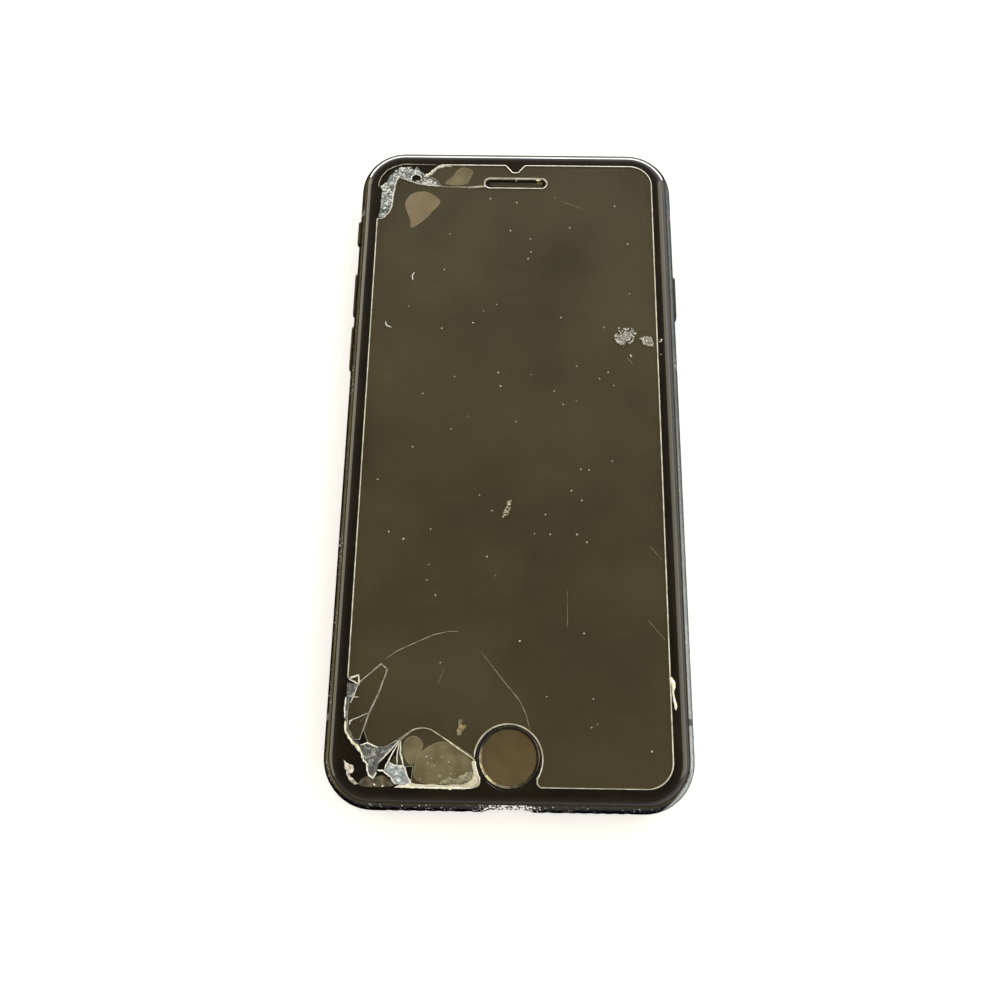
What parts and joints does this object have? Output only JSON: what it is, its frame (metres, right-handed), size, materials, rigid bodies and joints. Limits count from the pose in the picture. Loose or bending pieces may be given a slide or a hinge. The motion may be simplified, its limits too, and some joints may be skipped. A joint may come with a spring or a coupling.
{
  "type": "shattered screen phone",
  "caption": "Flat touch-screen phone with a round home button, side controls and a card tray; its stuck-on glass protector is cracked, with crushed glass and loose shards at the left corners.",
  "frame": {"origin": "centre of the flat back, which lies on the ground plane", "axes": "+Z out of the screen, +Y towards the top end with the earpiece, +X towards the side button and card tray"},
  "size_m": [0.0676, 0.1383, 0.0077],
  "materials": {
    "protector_glass": "clear polished tempered glass",
    "lifted_glass": "clear glass lifted off its glue, greyish",
    "crushed_glass": "crushed, blue-grey with white crumbs",
    "black_glass": "polished, black behind",
    "display_glass": "dark, switched off",
    "lens_glass": "coated lens",
    "black_aluminium": "black anodised, satin, rubbed and speckled bare",
    "black_plastic": "fine matte",
    "white_plastic": "smooth",
    "bare_steel": "satin",
    "dark_steel": "dark coated, worn",
    "dark_mesh": "fine black mesh",
    "gold_contacts": "gold plated",
    "ribbon_film": "amber film",
    "gasket_rubber": "soft matte",
    "yellow_lens": "ribbed clear over yellow",
    "battery_film": "black film",
    "adhesive": "stretchy white tape",
    "circuit_board": "dark green solder mask"
  },
  "bodies": {
    "phone_body": {"protector_pane": "protector_glass", "protector_crushed_corner": "crushed_glass", "protector_edge_chips": "crushed_glass", "protector_splinter": "protector_glass", "protector_inner_shard": "crushed_glass", "protector_outer_shard": "crushed_glass", "protector_needle_shards": "crushed_glass", "protector_lower_shard": "lifted_glass", "cover_glass": "black_glass", "display_frame": "black_plastic", "lcd_panel": "display_glass", "backlight": "white_plastic", "display_shield": "bare_steel", "display_ribbon": "ribbon_film", "earpiece_mesh": "dark_mesh", "earpiece_speaker": "black_plastic", "front_camera": "lens_glass", "proximity_sensor": "lens_glass", "sensor_ribbon": "ribbon_film", "home_button_gasket": "gasket_rubber", "home_button_bracket": "bare_steel", "home_button_switch": "gold_contacts", "housing": "black_aluminium", "antenna_band_upper": "black_plastic", "antenna_band_lower": "black_plastic", "volume_up_switch": "gold_contacts", "volume_down_switch": "gold_contacts", "side_button_switch": "gold_contacts", "ring_switch_body": "black_plastic", "volume_bracket": "bare_steel", "side_button_bracket": "bare_steel", "card_reader": "bare_steel", "camera_ring": "dark_steel", "camera_lens": "lens_glass", "rear_camera_module": "black_plastic", "flash_lens": "yellow_lens", "rear_microphone": "bare_steel", "battery": "battery_film", "battery_adhesive_strips": "adhesive", "logic_board": "circuit_board", "board_chips": "black_plastic", "board_shields": "bare_steel", "board_screws": "bare_steel", "charging_port": "dark_steel", "port_contacts": "gold_contacts", "charging_ribbon": "ribbon_film", "loudspeaker": "black_plastic", "vibration_motor": "bare_steel", "bottom_microphone": "bare_steel", "bottom_screws": "dark_steel", "upper_antenna": "black_plastic"},
    "home_button": {"home_button_cap": "black_glass", "home_button_ring": "dark_steel", "home_button_carrier": "black_plastic"},
    "volume_up": {"volume_up_button": "black_aluminium"},
    "volume_down": {"volume_down_button": "black_aluminium"},
    "side_key": {"side_button": "black_aluminium"},
    "ring_switch": {"ring_switch_lever": "black_aluminium"},
    "tray": {"card_tray": "black_aluminium", "sim_card": "white_plastic"}
  },
  "joints": [
    {"name": "home_button_press", "type": "slide", "parent": "phone_body", "child": "home_button", "axis": [0, 0, -1], "range_m": [0, 0.00025], "stiffness_N_per_m": 400},
    {"name": "volume_up_press", "type": "slide", "parent": "phone_body", "child": "volume_up", "axis": [1, 0, 0], "range_m": [0, 0.00025], "stiffness_N_per_m": 400},
    {"name": "volume_down_press", "type": "slide", "parent": "phone_body", "child": "volume_down", "axis": [1, 0, 0], "range_m": [0, 0.00025], "stiffness_N_per_m": 400},
    {"name": "side_button_press", "type": "slide", "parent": "phone_body", "child": "side_key", "axis": [-1, 0, 0], "range_m": [0, 0.00025], "stiffness_N_per_m": 400},
    {"name": "ring_switch_slide", "type": "slide", "parent": "phone_body", "child": "ring_switch", "axis": [0, 0, -1], "range_m": [0, 0.0011]},
    {"name": "card_tray_slide", "type": "slide", "parent": "phone_body", "child": "tray", "axis": [1, 0, 0], "range_m": [0, 0.022]}
  ]
}
